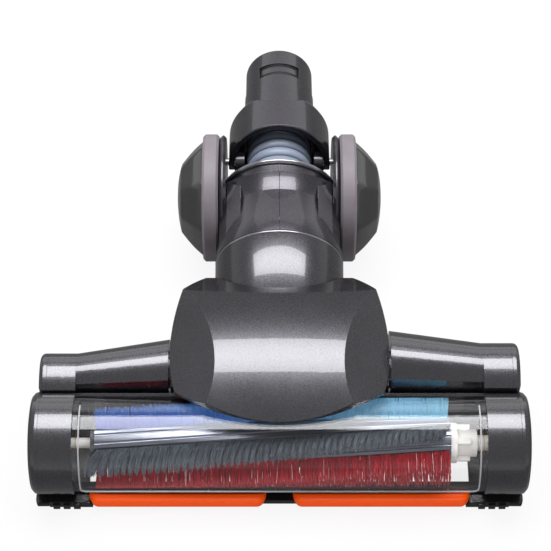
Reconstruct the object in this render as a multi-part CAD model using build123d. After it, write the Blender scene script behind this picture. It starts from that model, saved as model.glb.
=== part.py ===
from build123d import *
import math
import os

os.makedirs("parts", exist_ok=True)

# Vacuum floor brush head. Millimetres, +X right, +Y back, +Z up.
# The origin is on the floor, midway between the ends, under the crossbar axis.

# Fits: running clearance of a shaft, seating clearance of a fixed piece, gap beside a moving piece.
RUN = 0.05
SEAT = 0.02
GAP = 0.5

# Head: widths are half widths from the middle.
HALF_WIDTH = 110.5
PLATE = 4.5
CAP_LENGTH = 15.0
CAP_OUT = HALF_WIDTH - PLATE
WINDOW_HALF = CAP_OUT - CAP_LENGTH
REAR_STEP = 3.0
BRUSH_Y = -32.0
BRUSH_Z = 21.5
WINDOW_R = 22.3
WINDOW_WALL = 1.4
CHAMBER_R = WINDOW_R - WINDOW_WALL
CAP_R = 23.0
WINDOW_FROM = 32.0
WINDOW_TO = 220.0
SOLE = 3.2
SOLE_BACK = 5.0
TEETH = 3
BUMPER_NOSE = -54.6
BUMPER_TOP = 9.6
BUMPER_GAP = 12.0
TOOTH_PITCH = 4.6
TOOTH_W = 3.0

# Crossbar: centre and radius at the hood and at the ends, right side (motor) and left side.
BAR_Z = 32.0
BAR_IN = 49.6
BAR_EDGE_Y = -11.5
END_EDGE_Y = -14.5
BAR_RIGHT = ((0.0, 32.0, 17.4, 43.5), (-2.0, 30.0, 14.6, 40.5))
BAR_LEFT = ((-1.0, 31.5, 14.6, 42.0), (-4.0, 29.5, 11.9, 38.5))
BAR_BACK = -25.0
JOURNAL_R = 8.5

# Brush.
TIP_R = 20.3
CORE_R = 11.0
CORE_FROM = 9.0 - WINDOW_HALF
CORE_TO = WINDOW_HALF - 15.0
ROWS = 6
ROW_PITCH = -60.0
TWIST = -58.0
SLOT_W = 3.4
SLOT_R = 8.2
ROW_LEAD = 290.0
GREY_LEAN = 22.0

# Motor and belt.
MOTOR_R = 10.5
MOTOR_Z = 30.0
MOTOR_FROM = 54.0
MOTOR_TO = 83.0
SHAFT_R = 1.6
BRUSH_PULLEY_R = 9.0
MOTOR_PULLEY_R = 4.0
BELT_T = 1.2
BELT_FROM = CAP_OUT - 9.0
BELT_TO = CAP_OUT - 3.5

# Hood: a barrel about an axis across the head, cut by a plan outline.
HOOD_HALF = 49.0
BARREL_Y = 20.0
BARREL_Z = -22.9
BARREL_R = 87.9
CROWN = 2.4
CROWN_AT = 36.2
HOOD_WALL = 2.4
RIM_PLATE = 3.0
FACET_POINTS = ((38.0, 20.0, 62.6), (34.0, -30.0, 46.5), (49.0, 0.0, 47.0))
HOOD_BOTTOM = 20.0
LIP_Y = -34.6
LIP_R = 72.4
LIP_END = (46.5, -17.7)
HOOD_SIDE = ((49.0, -4.0), (46.7, 15.0), (41.5, 28.0), (33.5, 39.5))
OPENING_TOP = (20.0, 65.0)
OPENING_SIDE = (40.7, 46.0)
TILT_DOWN = 1.5
TILT_UP = 12.0

# Elbow and neck: the twist axis runs straight back at this height.
AXIS_Z = 38.5
SPIGOT_R = 25.2
ELBOW_R = SPIGOT_R + 4.5
ELBOW_TOP_R = 75.0
ELBOW_LEAN = 12.3
ELBOW_SWEEP = 60.0
ELBOW_BOTTOM = 9.0
ELBOW_FRONT = 17.0
SEAM_Y = 50.5
SHELL = 2.4
SPIGOT_LENGTH = 12.0
NECK_WAIST_Y = 77.0
NECK_WAIST_R = 26.0
LIP_CREST_Y = 86.0
NECK_LIP_R = 28.2
GROOVE_R = 26.2
RIM_Y = 91.6
RIM_R = 27.2
NECK_END_Y = 93.6
NECK_BORE = 23.4
FAIRING_Y = (54.0, 88.0)
FAIRING_FRONT = ((18.0, 60.0), (24.6, 53.6), (28.0, 44.5), (28.0, 30.0), (18.0, 18.0))
FAIRING_BACK = ((18.0, 58.5), (24.4, 54.6), (28.2, 46.5), (28.2, 14.0), (18.0, 14.0))

# Wheels.
AXLE_Y = 95.9
WHEEL_R = 30.5
AXLE_R = 4.0
CHEEK_IN = 25.2
CHEEK_OUT = 28.2
CHEEK_R = WHEEL_R - 0.5
TYRE_IN = 28.6
TYRE_OUT = 36.2
WHEEL_RIM_R = WHEEL_R - 5.0
HUB_R = WHEEL_R - 2.9
HUB_TOP_R = HUB_R - 11.4
HUB_OUT = 47.3
HUB_DOME = 1.4
HUB_SIDES = 8

# Wand: lengths run along the tube from the hinge axis.
HINGE_Y = 111.5
PIN_R = 1.75
TUBE_R = 17.0
TUBE_BORE = 14.8
TUBE_END = 73.0
ROOT_R = 17.3
ROOT_END = 36.5
LAND_END = 50.7
NOSE_R = 16.6
FLOOR_GAP = 0.3
COLLAR_R = 24.2
COLLAR_WALL = 2.6
COLLAR_FRONT = -3.6
COLLAR_SHOULDER = 21.0
COLLAR_BACK = 26.0
ARM_IN = 16.6
ARM_OUT = 20.8
ARM_R = 5.6
SLOT_FROM = 51.0
SLOT_TO = 61.0
SLOT_DEEP = 1.0
SLOT_HALF = 9.8
KEY_LENGTH = 7.0
KEY_W = 2.6

# Hose.
HOSE_R = 15.6
HOSE_BORE = 12.8
HOSE_PITCH = 4.9
HOSE_RIBS = 7
CUFF_R = 12.6
CUFF_BORE = 11.2

# The wand droops until the lower edge of its end is just above the floor.
DROOP = math.degrees(
    math.asin((AXIS_Z - FLOOR_GAP) / math.hypot(TUBE_END, TUBE_R)) - math.atan2(TUBE_R, TUBE_END)
)
WAND_AT = Pos(0, HINGE_Y, AXIS_Z) * Rot(-DROOP, 0, 0)


def x_cylinder(radius, x0, x1, y, z):
    """A cylinder across the head from x0 to x1."""
    return Pos((x0 + x1) / 2, y, z) * Rot(0, 90, 0) * Cylinder(radius, abs(x1 - x0))


def y_cylinder(radius, y0, y1, z=0.0, x=0.0):
    """A cylinder that runs back from y0 to y1."""
    return Pos(x, (y0 + y1) / 2, z) * Rot(90, 0, 0) * Cylinder(radius, y1 - y0)


def block(x0, x1, y0, y1, z0, z1):
    """A box between two corners."""
    return Pos((x0 + x1) / 2, (y0 + y1) / 2, (z0 + z1) / 2) * Box(abs(x1 - x0), y1 - y0, z1 - z0)


def across(sketch, x0, x1):
    """A side-view sketch (y, z) stretched across the head from x0 to x1."""
    low = min(x0, x1)
    return extrude(Plane.YZ.offset(low) * sketch, abs(x1 - x0))


def turned_y(points, z=0.0):
    """A solid of revolution about an axis that runs back; points are (y, radius)."""
    outline = make_face(Polyline(*[(y, r) for y, r in points], close=True))
    solid = revolve(Plane.YZ * outline, Axis.Y)
    return Pos(0, 0, z) * solid


def turned_x(points, y, z):
    """A solid of revolution about an axis across the head; points are (x, radius)."""
    outline = make_face(Polyline(*points, close=True))
    return Pos(0, y, z) * revolve(Plane.XZ * outline, Axis.X)


def ring_sector(r_in, r_out, start, stop):
    """Side-view sector of a ring about the brush axis; angles run from straight back, upwards."""
    centre = (BRUSH_Y, BRUSH_Z)
    outer = CenterArc(centre, r_out, start, stop - start)
    inner = CenterArc(centre, r_in, start, stop - start)
    return make_face([outer, Line(outer @ 1, inner @ 1), inner, Line(inner @ 0, outer @ 0)])


def brush_cylinder(radius, x0, x1):
    return x_cylinder(radius, x0, x1, BRUSH_Y, BRUSH_Z)


def one(shape):
    """The largest solid of a shape, which drops slivers left by a cut."""
    return max(shape.solids(), key=lambda solid: solid.volume)


# Head

def bar_profile(centre_y, centre_z, radius, edge_z, edge_y=BAR_EDGE_Y):
    """Side view of the crossbar: recess wall, flat-arched top, round back and bottom."""
    top = (centre_y, centre_z + radius)
    back = math.radians(BAR_BACK)
    low = (centre_y + radius * math.cos(back), centre_z + radius * math.sin(back))
    turn = math.radians(30.0)
    mid = (centre_y + radius * math.cos(turn), centre_z + radius * math.sin(turn))
    wall = (edge_y, SOLE)
    edge = (edge_y, edge_z)
    foot = (centre_y + radius * 0.62, SOLE)
    return make_face([
        Line(wall, edge),
        Spline(edge, top, tangents=((1.0, 0.62), (1.0, 0.0))),
        ThreePointArc(top, mid, low),
        Line(low, foot),
        Line(foot, wall),
    ])


def bar_side(side):
    """One half of the crossbar with its end block, for side +1 (right) or -1 (left)."""
    inner, outer = BAR_RIGHT if side > 0 else BAR_LEFT
    near = Plane.YZ.offset(side * BAR_IN) * bar_profile(*inner)
    far = Plane.YZ.offset(side * WINDOW_HALF) * bar_profile(*outer)
    bar = loft([near, far], ruled=True)
    end = across(bar_profile(*outer, END_EDGE_Y), side * WINDOW_HALF, side * (CAP_OUT - REAR_STEP + 1.0))
    end -= brush_cylinder(CAP_R + 0.15, side * (WINDOW_HALF - 1), side * (CAP_OUT + 1))
    return bar + end


def belt_tunnel(grow):
    """Space round both pulleys and the belt, at the right end."""
    big = Pos(BRUSH_Y, BRUSH_Z) * Circle(BRUSH_PULLEY_R + BELT_T + grow)
    small = Pos(0, MOTOR_Z) * Circle(MOTOR_PULLEY_R + BELT_T + grow)
    return across(make_hull(big.edges() + small.edges()), BELT_FROM - 2.0, CAP_OUT - 0.6)


def rear_housing():
    housing = bar_side(1) + bar_side(-1)
    housing -= brush_cylinder((CHAMBER_R + WINDOW_R) / 2, -WINDOW_HALF, WINDOW_HALF)
    housing += across(ring_sector(CHAMBER_R, WINDOW_R, -53.5, WINDOW_FROM - 1.0), -WINDOW_HALF, WINDOW_HALF)
    for side in (1, -1):
        housing += x_cylinder(JOURNAL_R, side * 43.0, side * (BAR_IN + 1.0), 0, BAR_Z)
    housing -= x_cylinder(MOTOR_R + 0.25, MOTOR_FROM - 1.5, MOTOR_TO + 2.0, 0, MOTOR_Z)
    housing -= x_cylinder(SHAFT_R + 0.4, MOTOR_FROM, CAP_OUT, 0, MOTOR_Z)
    housing -= belt_tunnel(0.8)
    housing -= x_cylinder(7.5, -WINDOW_HALF, -BAR_IN - 3.0, -3.0, 30.5)
    housing -= block(-34, 34, -16, 2, 8.5, 31)
    return one(housing)


def brush_window():
    """Clear arched cover with a thicker front lip and an inner rib near each end."""
    window = across(ring_sector(CHAMBER_R, WINDOW_R, WINDOW_FROM, WINDOW_TO), -WINDOW_HALF + 0.1, WINDOW_HALF - 0.1)
    lip_angle = math.radians(WINDOW_TO - 2.0)
    lip_r = (CHAMBER_R + WINDOW_R) / 2
    window += x_cylinder(WINDOW_WALL / 2 + 0.15, 0.2 - WINDOW_HALF, WINDOW_HALF - 0.2,
                         BRUSH_Y + lip_r * math.cos(lip_angle), BRUSH_Z + lip_r * math.sin(lip_angle))
    for side in (1, -1):
        window += across(ring_sector(CHAMBER_R - 1.0, CHAMBER_R + 0.2, WINDOW_FROM + 12, WINDOW_TO - 8),
                         side * (WINDOW_HALF - 3.4), side * (WINDOW_HALF - 2.2))
    return window


def end_cap(side):
    """Front lobe between the window and the end plate, hollow where the belt runs."""
    cap = brush_cylinder(CAP_R, side * WINDOW_HALF, side * CAP_OUT)
    cap -= block(-CAP_OUT - 1, CAP_OUT + 1, -60, 0, -5, SOLE)
    if side > 0:
        cap -= belt_tunnel(0.8)
        cap -= brush_cylinder(7.0 + SEAT, WINDOW_HALF - 1, BELT_FROM)
    else:
        cap -= brush_cylinder(17.0, -CAP_OUT - 1, -WINDOW_HALF - 5.0)
        cap -= brush_cylinder(6.0 + SEAT, -BELT_FROM, -WINDOW_HALF + 1)
    return one(cap)


def end_plate(side):
    """Outer trim with a front lobe, a lower rear lobe and rounded outer edges."""
    outer = (BAR_RIGHT if side > 0 else BAR_LEFT)[1]
    rim = 3.2
    front = turned_x(
        [(0, 0), (0, CAP_R), (PLATE - rim, CAP_R), (PLATE - rim * 0.5, CAP_R - rim * 0.18),
         (PLATE - rim * 0.12, CAP_R - rim * 0.6), (PLATE, CAP_R - rim * 1.3), (PLATE, 0)], 0, 0)
    front = Pos(side * CAP_OUT, BRUSH_Y, BRUSH_Z) * (front if side > 0 else mirror(front, Plane.YZ))
    start = CAP_OUT - REAR_STEP + 1.0
    rear = across(bar_profile(*outer, END_EDGE_Y), side * start, side * (HALF_WIDTH - REAR_STEP))
    outer_face = rear.faces().sort_by(Axis.X)[-1 if side > 0 else 0]
    rear = fillet(outer_face.edges(), 2.2)
    rear -= brush_cylinder(CAP_R + 0.15, side * (start - 1), side * (CAP_OUT + 0.05))
    plate = front + rear
    plate -= block(-HALF_WIDTH - 1, HALF_WIDTH + 1, -60, 20, -5, SOLE)
    if side > 0:
        plate -= belt_tunnel(0.8)
    else:
        plate -= brush_cylinder(9.4, -HALF_WIDTH - 1, -HALF_WIDTH + 3.0)
        plate -= brush_cylinder(3.0 + RUN, -HALF_WIDTH, -CAP_OUT + 1)
    return one(plate)


def bumper(side):
    """Orange front bar: a round-nosed strip with round ends."""
    strip = block(side * BUMPER_GAP / 2, side * (WINDOW_HALF - 5.5), BUMPER_NOSE, BUMPER_NOSE + 10.6, 1.0, BUMPER_TOP)
    nose = strip.edges().filter_by(Axis.X).group_by(Axis.Y)[0]
    strip = fillet(nose, 3.2)
    corners = strip.edges().filter_by(Axis.Z).group_by(Axis.Y)[0]
    strip = fillet(corners, 3.0)
    return one(strip - brush_cylinder(WINDOW_R + 0.35, -WINDOW_HALF, WINDOW_HALF))


def sole_plate():
    """Black frame round the brush opening, with a front apron and toothed front corners."""
    sole = block(-CAP_OUT + 1.5, CAP_OUT - 1.5, -51.5, SOLE_BACK, 0.0, SOLE)
    corners = sole.edges().filter_by(Axis.Z)
    sole = fillet(corners, 5.0)
    open_half = WINDOW_HALF - 5.0
    sole -= block(-open_half, open_half, -46.5, -17.0, -1.0, SOLE + 1.0)
    sole += across(ring_sector(CHAMBER_R, WINDOW_R, WINDOW_TO + 2.0, 242.0), -WINDOW_HALF, WINDOW_HALF)
    for side in (1, -1):
        sole += block(side * (WINDOW_HALF - 7.0), side * (CAP_OUT - 2.5), -53.2, -46.6, 0.0, SOLE + 1.6)
        for tooth in range(TEETH):
            x0 = WINDOW_HALF - 1.5 + TOOTH_PITCH * tooth
            sole += block(side * x0, side * (x0 + TOOTH_W), -54.5, -50.0, 0.6, SOLE + 1.0)
        sole -= brush_cylinder(CAP_R, side * WINDOW_HALF, side * HALF_WIDTH) & block(
            -HALF_WIDTH, HALF_WIDTH, -60, 0, SOLE, 50)
    for side in (1, -1):
        sole -= bumper(side)
    sole -= screw_set(SOLE_SCREWS, 0.0, SEAT)
    return one(sole)


SCREW_X = CAP_OUT - 9.0
SOLE_SCREWS = ((SCREW_X, -8.0), (-SCREW_X, -8.0), (60.0, -4.0), (-60.0, -4.0))


def screw_set(places, z, grow):
    """Countersunk screws seen from below, one solid at each place."""
    screws = []
    for x, y in places:
        head = Pos(x, y, z + 1.0) * Cylinder(3.0 + grow, 1.6)
        if grow == 0:
            head -= Pos(x, y, z + 0.2) * Box(4.0, 0.8, 1.0)
            head -= Pos(x, y, z + 0.2) * Box(0.8, 4.0, 1.0)
            screws.append(head)
        else:
            screws.append(head + Pos(x, y, z) * Cylinder(3.0 + grow, 1.6))
    return Compound(children=[one(s) for s in screws]) if grow == 0 else sum(screws[1:], screws[0])


# Brush

def polar(radius, angle):
    return (radius * math.cos(math.radians(angle)), radius * math.sin(math.radians(angle)))


def twisted(face, x0, x1):
    """A section about the brush axis stretched from x0 to x1 while it turns by the row twist."""
    turn = TWIST * (x1 - x0) / (CORE_TO - CORE_FROM)
    solid = Solid.extrude_linear_with_rotation(face, (0, 0, 0), (0, 0, x1 - x0), turn)
    return Pos(x0, BRUSH_Y, BRUSH_Z) * Rot(0, 90, 0) * solid


def row_angle(row):
    return ROW_LEAD + ROW_PITCH * row


def slot_box(row, grow):
    width = SLOT_W + 2 * grow
    return Rot(0, 0, row_angle(row)) * Pos((SLOT_R - grow + CORE_R + 1.0) / 2, 0) * Rectangle(
        CORE_R + 1.0 - SLOT_R + grow, width)


def brush_core():
    """Round core with six slots for the rows and a grooved land between them."""
    section = Circle(CORE_R)
    for row in range(ROWS):
        section -= slot_box(row, 0.06)
        for step in (-10.0, 10.0):
            place = polar(CORE_R, row_angle(row) + ROW_PITCH / 2 + step)
            section -= Pos(*place) * Circle(0.7)
    core = twisted(section.face(), CORE_FROM, CORE_TO)
    return core - brush_cylinder(4.5, CORE_FROM - 1, CORE_TO + 1)


def bristle_row(row):
    """One row: a root in its slot and a fin; grey fins lean, nylon fins flare."""
    angle = row_angle(row)
    root = Rot(0, 0, angle) * Pos((SLOT_R + CORE_R) / 2, 0) * Rectangle(CORE_R - SLOT_R, SLOT_W)
    half = math.degrees(math.asin(SLOT_W / 2 / CORE_R))
    foot = CORE_R - 0.3
    if row % 3 == 1:
        tip = angle + GREY_LEAN
        fin = Polyline(polar(foot, angle + half), polar(CORE_R + 1.2, angle + half), polar(TIP_R - 1.0, tip + 4.0),
                       polar(TIP_R - 1.0, tip - 7.0), polar(CORE_R + 2.6, angle - half),
                       polar(foot, angle - half), close=True)
    else:
        fin = Polyline(polar(foot, angle - half), polar(TIP_R, angle - 6.5), polar(TIP_R, angle + 6.5),
                       polar(foot, angle + half), close=True)
    section = root + make_face(fin)
    return twisted(section.face(), CORE_FROM + 0.5, CORE_TO - 0.5)


def drive_dog():
    """White coupling on the drive end: a stepped boss, four dogs and the drive shaft."""
    dog = brush_cylinder(9.0, CORE_TO + 0.1, CORE_TO + 3.0) + brush_cylinder(6.2, CORE_TO + 2.0, CORE_TO + 12.0)
    dog += brush_cylinder(4.4, CORE_TO - 10.0, CORE_TO + 1.0)
    for turn in range(4):
        lug = Pos(CORE_TO + 6.0, 0, 6.6) * Box(6.0, 3.0, 3.0)
        dog += Pos(0, BRUSH_Y, BRUSH_Z) * Rot(90 * turn + 20, 0, 0) * lug
    dog += brush_cylinder(3.5, CORE_TO + 11.0, BELT_TO + 1.6)
    return dog


def brush_journal():
    """White end plug with a small stub that runs in the left bearing."""
    plug = brush_cylinder(9.0, CORE_FROM - 2.0, CORE_FROM - 0.1)
    plug += brush_cylinder(4.4, CORE_FROM - 1.0, CORE_FROM + 10.0)
    plug += brush_cylinder(2.4, -BELT_FROM + 1.5, CORE_FROM - 1.0)
    return plug


def pulley(radius, bore, y, z):
    """A flat pulley with two flanges."""
    lip = radius + BELT_T * 0.6
    return turned_x(
        [(BELT_FROM - 1.2, bore), (BELT_FROM - 1.2, lip), (BELT_FROM - 0.3, lip), (BELT_FROM - 0.3, radius),
         (BELT_TO + 0.3, radius), (BELT_TO + 0.3, lip), (BELT_TO + 1.2, lip), (BELT_TO + 1.2, bore)], y, z)


def drive_belt():
    def loop(grow):
        big = Pos(BRUSH_Y, BRUSH_Z) * Circle(BRUSH_PULLEY_R + grow)
        small = Pos(0, MOTOR_Z) * Circle(MOTOR_PULLEY_R + grow)
        return make_hull(big.edges() + small.edges())
    return across(loop(BELT_T + 0.1) - loop(0.1), BELT_FROM, BELT_TO)


def motor_can():
    can = x_cylinder(MOTOR_R, MOTOR_FROM, MOTOR_TO, 0, MOTOR_Z)
    can = chamfer(can.edges().filter_by(GeomType.CIRCLE), 0.8)
    can += x_cylinder(4.0, MOTOR_TO - 0.5, MOTOR_TO + 1.6, 0, MOTOR_Z)
    return can - x_cylinder(SHAFT_R + RUN, MOTOR_FROM - 1, MOTOR_TO + 3, 0, MOTOR_Z)


# Turret: hood, elbow and base turn together about the crossbar axis

def barrel(shrink):
    """The crowned barrel about an axis across the head."""
    top = BARREL_R - shrink
    half = HOOD_HALF + 1.0
    crown_r = (CROWN_AT ** 2 + CROWN ** 2) / (2 * CROWN)
    low = top - crown_r + math.sqrt(crown_r ** 2 - half ** 2)
    profile = make_face([
        ThreePointArc((-half, low), (0, top), (half, low)),
        Polyline((half, low), (half, 1.0), (-half, 1.0), (-half, low)),
    ])
    return Pos(0, BARREL_Y, BARREL_Z) * revolve(Plane.XZ * profile, Axis.X)


def side_facet(side, shrink):
    """Everything outside the sloping facet at one side of the hood."""
    a, b, c = (Vector(side * x, y, z) for x, y, z in FACET_POINTS)
    normal = (a - b).cross(c - a).normalized()
    if normal.Z < 0:
        normal = normal * -1
    facet = Plane(origin=a - normal * shrink, z_dir=normal)
    return extrude(facet * Rectangle(300, 300), 80)


def hood_plan(shrink):
    """Plan outline of the hood: arched front lip, bowed sides, straight back."""
    end_x, end_y = LIP_END
    right = [(end_x - shrink, end_y + shrink)] + [(x - shrink, y) for x, y in HOOD_SIDE]
    left = [(-x, y) for x, y in reversed(right)]
    return make_face([
        ThreePointArc(left[-1], (0, LIP_Y + shrink), right[0]),
        Spline(*right),
        Line(right[-1], left[0]),
        Spline(*left),
    ])


def head_sweep(grow):
    """The brush chamber as the turret sees it over its whole tilt."""
    tubes = []
    for angle in (TILT_DOWN, 0.0, -TILT_UP / 3, -TILT_UP * 2 / 3, -TILT_UP):
        tube = brush_cylinder(WINDOW_R + grow, -HOOD_HALF - 3.0, HOOD_HALF + 3.0)
        tubes.append(Pos(0, 0, BAR_Z) * Rot(-angle, 0, 0) * Pos(0, 0, -BAR_Z) * tube)
    return tubes


def elbow_body(grow):
    """Bent tube: a circle carried about an axis across the head, cut off square at the seam."""
    lean = math.radians(ELBOW_LEAN)
    centre_y = SEAM_Y + ELBOW_TOP_R * math.sin(lean)
    centre_z = AXIS_Z + ELBOW_R - ELBOW_TOP_R * math.cos(lean)
    ring = Plane(origin=(0, centre_y, centre_z + ELBOW_TOP_R - ELBOW_R), x_dir=(0, 0, -1), z_dir=(0, -1, 0))
    tube = revolve(ring * Circle(ELBOW_R + grow), Axis((0, centre_y, centre_z), (1, 0, 0)), ELBOW_SWEEP)
    return tube & block(-60, 60, -40, SEAM_Y + grow, ELBOW_BOTTOM - grow, 120)


def hood():
    (y0, z0), (y1, z1) = OPENING_TOP, OPENING_SIDE
    opening = Plane(origin=(0, y0, z0), x_dir=(1, 0, 0), z_dir=(0, z0 - z1, y1 - y0))
    rear = extrude(opening * Rectangle(200, 200), 80)
    outer = extrude(Plane.XY.offset(HOOD_BOTTOM) * hood_plan(0), 60) - rear
    outer &= barrel(0)
    inner = extrude(Plane.XY.offset(HOOD_BOTTOM - 1) * hood_plan(HOOD_WALL), 61)
    inner -= extrude(opening.offset(-RIM_PLATE) * Rectangle(200, 200), 90)
    inner &= barrel(HOOD_WALL)
    for side in (1, -1):
        outer -= side_facet(side, 0)
        inner -= side_facet(side, HOOD_WALL)
    shell = outer - inner
    shell -= elbow_body(GAP)
    for side in (1, -1):
        shell += x_cylinder(11.0, side * 43.6, side * HOOD_HALF, 0, BAR_Z) & block(-60, 60, -15, 15, HOOD_BOTTOM, 60)
    for tube in head_sweep(0.5):
        shell -= tube
    shell -= x_cylinder(JOURNAL_R + RUN, -60, 60, 0, BAR_Z)
    return one(shell)


def turret_base():
    """Tray that closes the hood from below and carries the elbow."""
    floor_z = 8.0
    outline = hood_plan(1.2)
    tray = extrude(Plane.XY.offset(floor_z) * outline, HOOD_BOTTOM - floor_z)
    tray -= extrude(Plane.XY.offset(floor_z + 2.4) * hood_plan(1.2 + 2.4), 40)
    tray &= block(-42.6, 42.6, -4.0, 31.0, 0, 60)
    for tube in head_sweep(0.6):
        tray -= tube
    tray -= elbow_body(0.05)
    return one(tray)


def elbow():
    """Ball and short barrel with an air opening in front and the twist spigot behind."""
    body = elbow_body(0) - elbow_body(-SHELL)
    body -= block(-40, 40, -20, ELBOW_FRONT, 0, 90)
    body += y_cylinder(SPIGOT_R, SEAM_Y - 1.0, SEAM_Y + SPIGOT_LENGTH, AXIS_Z)
    body -= y_cylinder(SPIGOT_R - SHELL, SEAM_Y - 5.0, SEAM_Y + SPIGOT_LENGTH + 1, AXIS_Z)
    body -= turned_y([(SEAM_Y + 9.0, SPIGOT_R - 1.0), (SEAM_Y + 9.0, SPIGOT_R + 1), (SEAM_Y + 10.6, SPIGOT_R + 1),
                      (SEAM_Y + 10.6, SPIGOT_R - 1.0)], AXIS_Z)
    return one(body)


def snap_ring():
    """Split ring in the groove of the spigot, which keeps the neck on."""
    ring = turned_y([(SEAM_Y + 9.1, SPIGOT_R - 0.9), (SEAM_Y + 9.1, SPIGOT_R + 1.2), (SEAM_Y + 10.5, SPIGOT_R + 1.2),
                     (SEAM_Y + 10.5, SPIGOT_R - 0.9)], AXIS_Z)
    return ring - block(-2.0, 2.0, SEAM_Y, SEAM_Y + 20, 0, AXIS_Z)


# Neck

def neck_profile():
    """Half section of the neck: seam, taper to the waist, flared lip."""
    start = SEAM_Y + GAP
    outer = Spline((start + 1.0, ELBOW_R), (start + 12.0, ELBOW_R - 1.6), (NECK_WAIST_Y, NECK_WAIST_R),
                   tangents=((1.0, -0.02), (1.0, -0.08)))
    flare = Spline((NECK_WAIST_Y, NECK_WAIST_R), (LIP_CREST_Y, NECK_LIP_R), tangents=((1.0, 0.02), (1.0, 0.42)))
    inner = Polyline(
        (LIP_CREST_Y, NECK_LIP_R), (LIP_CREST_Y + 0.8, NECK_LIP_R - 0.4), (LIP_CREST_Y + 1.4, GROOVE_R),
        (RIM_Y - 1.0, GROOVE_R), (RIM_Y - 0.6, RIM_R), (RIM_Y, RIM_R), (NECK_END_Y, NECK_BORE + 1.2),
        (NECK_END_Y, NECK_BORE), (SEAM_Y + 14.0, NECK_BORE),
        (SEAM_Y + 11.0, SPIGOT_R + 1.6), (SEAM_Y + 8.6, SPIGOT_R + 1.6), (SEAM_Y + 8.6, SPIGOT_R + RUN),
        (start, SPIGOT_R + RUN), (start, ELBOW_R - 1.0), (start + 1.0, ELBOW_R))
    return make_face([outer, flare, inner])


def fairing(side):
    """Wedge that carries the side of the neck out to its wheel cheek."""
    front = make_face(Polyline(*[(side * x, z) for x, z in FAIRING_FRONT], close=True))
    back = make_face(Polyline(*[(side * x, z) for x, z in FAIRING_BACK], close=True))
    near = Plane(origin=(0, FAIRING_Y[0], 0), x_dir=(1, 0, 0), z_dir=(0, -1, 0)) * front
    far = Plane(origin=(0, FAIRING_Y[1], 0), x_dir=(1, 0, 0), z_dir=(0, -1, 0)) * back
    hollow = turned_y([(SEAM_Y - 1, 0), (SEAM_Y - 1, SPIGOT_R + 2.2), (SEAM_Y + 12.0, SPIGOT_R + 2.2),
                       (SEAM_Y + 15.0, NECK_BORE), (150, NECK_BORE), (150, 0)], AXIS_Z)
    return loft([near, far], ruled=True) - hollow


def neck():
    """Tube with a wheel cheek at each side; it is split into halves on the mould seam."""
    tube = revolve(Plane.YZ * neck_profile(), Axis.Y)
    tube = Pos(0, 0, AXIS_Z) * tube
    bore = y_cylinder(NECK_BORE, SEAM_Y + 14, 150, AXIS_Z)
    for side in (1, -1):
        cheek = x_cylinder(CHEEK_R, side * CHEEK_IN, side * CHEEK_OUT, AXLE_Y, WHEEL_R)
        rim = cheek.edges().filter_by(GeomType.CIRCLE)
        cheek = chamfer(rim, 1.2)
        boss = x_cylinder(8.0, side * 20.0, side * CHEEK_IN, AXLE_Y, WHEEL_R) & block(-60, 60, 60, NECK_END_Y - 1.0, 0, 90)
        tube += cheek
        tube += fairing(side)
        tube += boss - bore
        tube -= x_cylinder(AXLE_R + SEAT, side * 21.0, side * 60, AXLE_Y, WHEEL_R)
        tube -= x_cylinder(PIN_R + SEAT, side * 20.0, side * 60, HINGE_Y, AXIS_Z)
    wall = y_cylinder(NECK_BORE + 0.5, 75.0, 78.0, AXIS_Z) - y_cylinder(CUFF_R + SEAT, 70.0, 80.0, AXIS_Z)
    return tube + wall


def neck_half(whole, side):
    """One half, with a fine chamfer line left along the seam on the outside."""
    half = whole & block(0.06 * side, side * 60, 0, 200, -20, 120)
    return one(half)


def wheel_rim(side):
    points = [(TYRE_IN, AXLE_R + RUN), (TYRE_IN, WHEEL_RIM_R), (TYRE_OUT, WHEEL_RIM_R), (TYRE_OUT, WHEEL_RIM_R - 2.5),
              (TYRE_IN + 2.6, WHEEL_RIM_R - 3.0), (TYRE_IN + 2.6, 8.0), (TYRE_OUT + 5.0, 7.0), (TYRE_OUT + 5.0, AXLE_R + RUN)]
    return on_side(turned_x(points, AXLE_Y, WHEEL_R), side)


def on_side(shape, side):
    """A piece made for the right side, or its mirror image for the left."""
    return shape if side > 0 else mirror(shape, Plane.YZ)


def tyre(side):
    bevel = 1.1
    points = [(TYRE_IN, WHEEL_RIM_R + SEAT), (TYRE_IN, WHEEL_R - bevel), (TYRE_IN + bevel, WHEEL_R),
              (TYRE_OUT - bevel, WHEEL_R), (TYRE_OUT, WHEEL_R - bevel), (TYRE_OUT, WHEEL_RIM_R + SEAT)]
    return on_side(turned_x(points, AXLE_Y, WHEEL_R), side)


def hub_cap(side):
    """Eight-sided frustum with a low dome, hollow behind."""
    def ngon(radius, x):
        return Plane.YZ.offset(x) * Rot(0, 0, 180 / HUB_SIDES) * RegularPolygon(radius, HUB_SIDES)
    start = TYRE_OUT + 0.05
    cap = loft([ngon(HUB_R, start), ngon(HUB_TOP_R, HUB_OUT)], ruled=True)
    cap = fillet(cap.edges().group_by(Axis.X)[1], 1.6)
    dome_r = (HUB_TOP_R ** 2 * 0.7 + HUB_DOME ** 2) / (2 * HUB_DOME)
    dome = Pos(HUB_OUT + HUB_DOME - dome_r, 0, 0) * Sphere(dome_r)
    cap += dome & x_cylinder(HUB_TOP_R * 0.83, HUB_OUT - 1.0, HUB_OUT + 5, 0, 0)
    hollow = loft([ngon(HUB_R - 3.0, start - 0.1), ngon(HUB_TOP_R - 2.6, HUB_OUT - 2.0)], ruled=True)
    return on_side(Pos(0, AXLE_Y, WHEEL_R) * (cap - hollow), side)


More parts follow.
